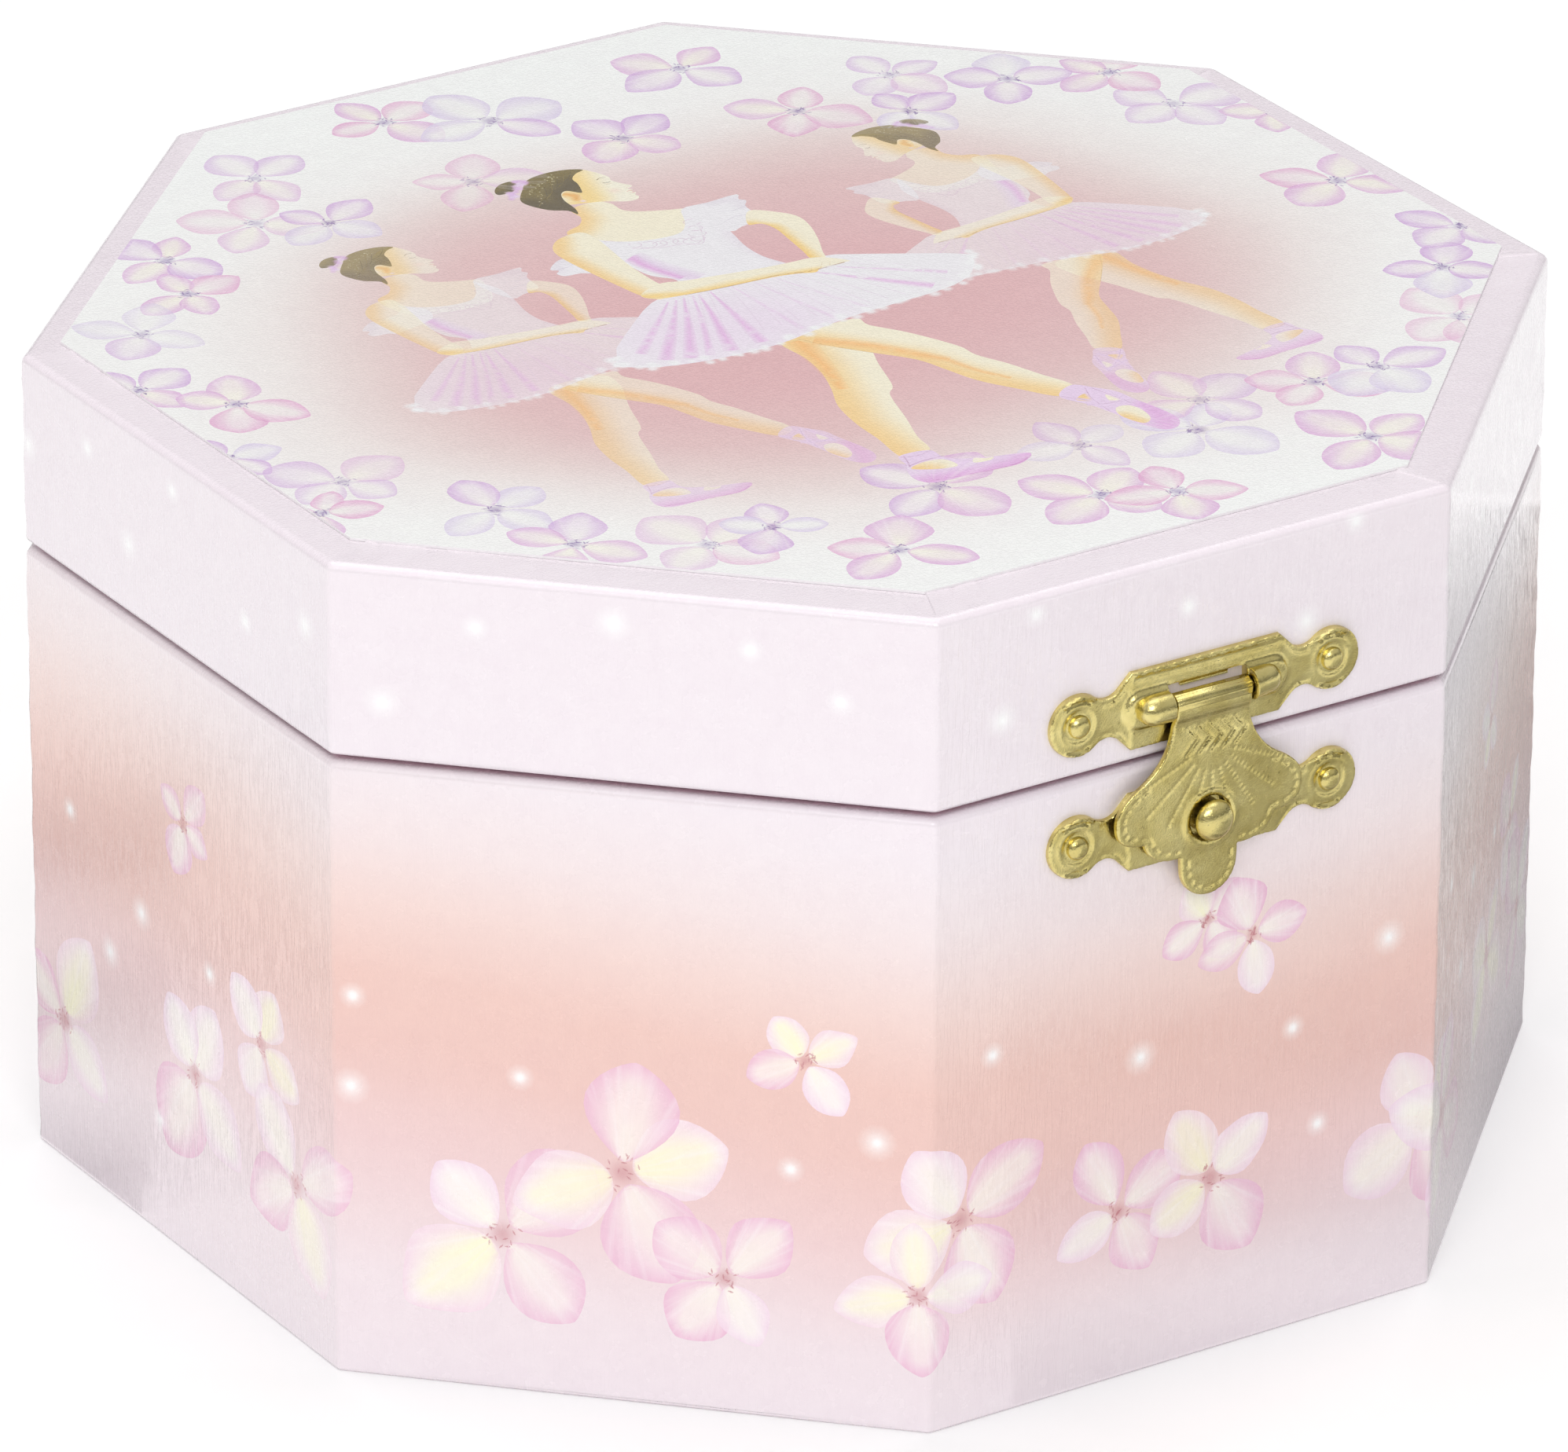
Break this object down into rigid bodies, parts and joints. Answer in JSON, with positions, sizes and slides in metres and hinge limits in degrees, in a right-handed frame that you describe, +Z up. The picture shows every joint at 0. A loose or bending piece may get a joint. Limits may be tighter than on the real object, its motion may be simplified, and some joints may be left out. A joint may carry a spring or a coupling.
{
  "type": "ballerina jewellery box",
  "caption": "Octagonal paper-covered musical jewellery box with a hinged lid, hasp latch, lined compartments, mirror and a dancer turned by a wind-up movement.",
  "frame": {"origin": "middle of the standing surface, under the centre of the octagon", "axes": "+Z up, the latch faces -Y, the back hinges are at +Y, +X is to the right seen from the front"},
  "size_m": [0.155, 0.163, 0.0945],
  "materials": {
    "wrap_paper": "glossy printed paper wrapped over board, pink fading to peach",
    "printed_picture": "glossy printed picture sheet",
    "card": "plain grey-brown board",
    "lining": "pale pink satin lining",
    "velvet": "rose flocked velvet",
    "mirror_glass": "silvered mirror glass",
    "latch_brass": "bright pale brass-plated stamping",
    "hinge_brass": "satin brass plate",
    "movement_brass": "machined brass",
    "steel": "machined steel",
    "zinc": "grey die-cast metal, satin",
    "white_plastic": "moulded white plastic",
    "doll_plastic": "painted moulded plastic",
    "tulle": "gathered white and pink net"
  },
  "bodies": {
    "base": {"base_shell": "wrap_paper", "bottom_panel": "card", "base_liner": "lining", "compartment_floor": "velvet", "deck_panel": "velvet", "deck_front_wall": "velvet", "divider_left": "velvet", "divider_right": "velvet", "ring_roll_1": "velvet", "ring_roll_2": "velvet", "ring_roll_3": "velvet", "ring_roll_4": "velvet", "ring_roll_5": "velvet", "latch_base_plate": "latch_brass", "latch_knob": "latch_brass", "latch_nail_base_left": "latch_brass", "latch_nail_base_right": "latch_brass", "hinge_base_leaf_left": "hinge_brass", "hinge_base_leaf_right": "hinge_brass", "hinge_pin_left": "hinge_brass", "hinge_pin_right": "hinge_brass", "bedplate": "zinc", "spring_housing": "zinc", "mainspring": "steel", "cylinder_bracket_front": "steel", "cylinder_bracket_rear": "steel", "comb": "steel", "comb_screw_front": "steel", "comb_screw_rear": "steel", "governor_bracket": "steel", "movement_screw_front": "steel", "movement_screw_rear": "steel"},
    "lid": {"lid_shell": "wrap_paper", "lid_picture": "printed_picture", "lid_liner": "lining", "mirror": "mirror_glass", "mirror_frame": "lining", "latch_lid_plate": "latch_brass", "hasp_pin": "latch_brass", "latch_nail_lid_left": "latch_brass", "latch_nail_lid_right": "latch_brass", "hinge_lid_leaf_left": "hinge_brass", "hinge_lid_leaf_right": "hinge_brass"},
    "hasp": {"hasp_flap": "latch_brass"},
    "key": {"winding_key": "zinc", "winding_arbor": "steel"},
    "drive": {"drive_gear": "movement_brass"},
    "cylinder": {"pinned_cylinder": "movement_brass", "cylinder_pinion": "movement_brass", "cylinder_gear": "movement_brass"},
    "governor": {"governor_wheel": "movement_brass"},
    "fan": {"governor_fan": "white_plastic"},
    "dancer": {"spindle": "steel", "spindle_pinion": "white_plastic", "dancer_stand": "white_plastic", "dancer_spring": "steel", "dancer_figure": "doll_plastic", "dancer_skirt": "tulle"},
    "stop": {"stop_rod": "steel"}
  },
  "joints": [
    {"name": "lid_hinge", "type": "hinge", "parent": "base", "child": "lid", "pos_m": [0, 0.0796, 0.072], "axis": [-1, 0, 0], "range_deg": [0, 100]},
    {"name": "hasp_hinge", "type": "hinge", "parent": "lid", "child": "hasp", "pos_m": [0.001, -0.0788, 0.0783], "axis": [-1, 0, 0], "range_deg": [0, 160]},
    {"name": "key_turn", "type": "hinge", "parent": "base", "child": "key", "pos_m": [-0.017, 0.024, 0.02], "axis": [0, 0, 1], "continuous": true},
    {"name": "cylinder_spin", "type": "hinge", "parent": "base", "child": "cylinder", "pos_m": [-0.017, 0.0485, 0.03225], "axis": [0, 1, 0], "continuous": true},
    {"name": "drive_spin", "type": "hinge", "parent": "base", "child": "drive", "pos_m": [-0.017, 0.024, 0.027], "axis": [0, 0, 1], "continuous": true},
    {"name": "dancer_spin", "type": "hinge", "parent": "base", "child": "dancer", "pos_m": [0, 0.03248, 0.045], "axis": [0, 0, 1], "continuous": true},
    {"name": "governor_spin", "type": "hinge", "parent": "base", "child": "governor", "pos_m": [-0.0244, 0.0606, 0.02921], "axis": [0, 1, 0], "continuous": true},
    {"name": "fan_spin", "type": "hinge", "parent": "base", "child": "fan", "pos_m": [-0.0304, 0.0622, 0.025], "axis": [0, 0, 1], "continuous": true},
    {"name": "stop_slide", "type": "slide", "parent": "base", "child": "stop", "axis": [0, 0, 1], "range_m": [0, 0.004]}
  ],
  "couplings": [
    {"joint": "drive_spin", "follows": "cylinder_spin", "ratio": 0.25},
    {"joint": "dancer_spin", "follows": "cylinder_spin", "ratio": -0.54167},
    {"joint": "governor_spin", "follows": "cylinder_spin", "ratio": -3},
    {"joint": "fan_spin", "follows": "cylinder_spin", "ratio": 24},
    {"joint": "stop_slide", "follows": "lid_hinge", "m_per_rad": 0.00229}
  ]
}
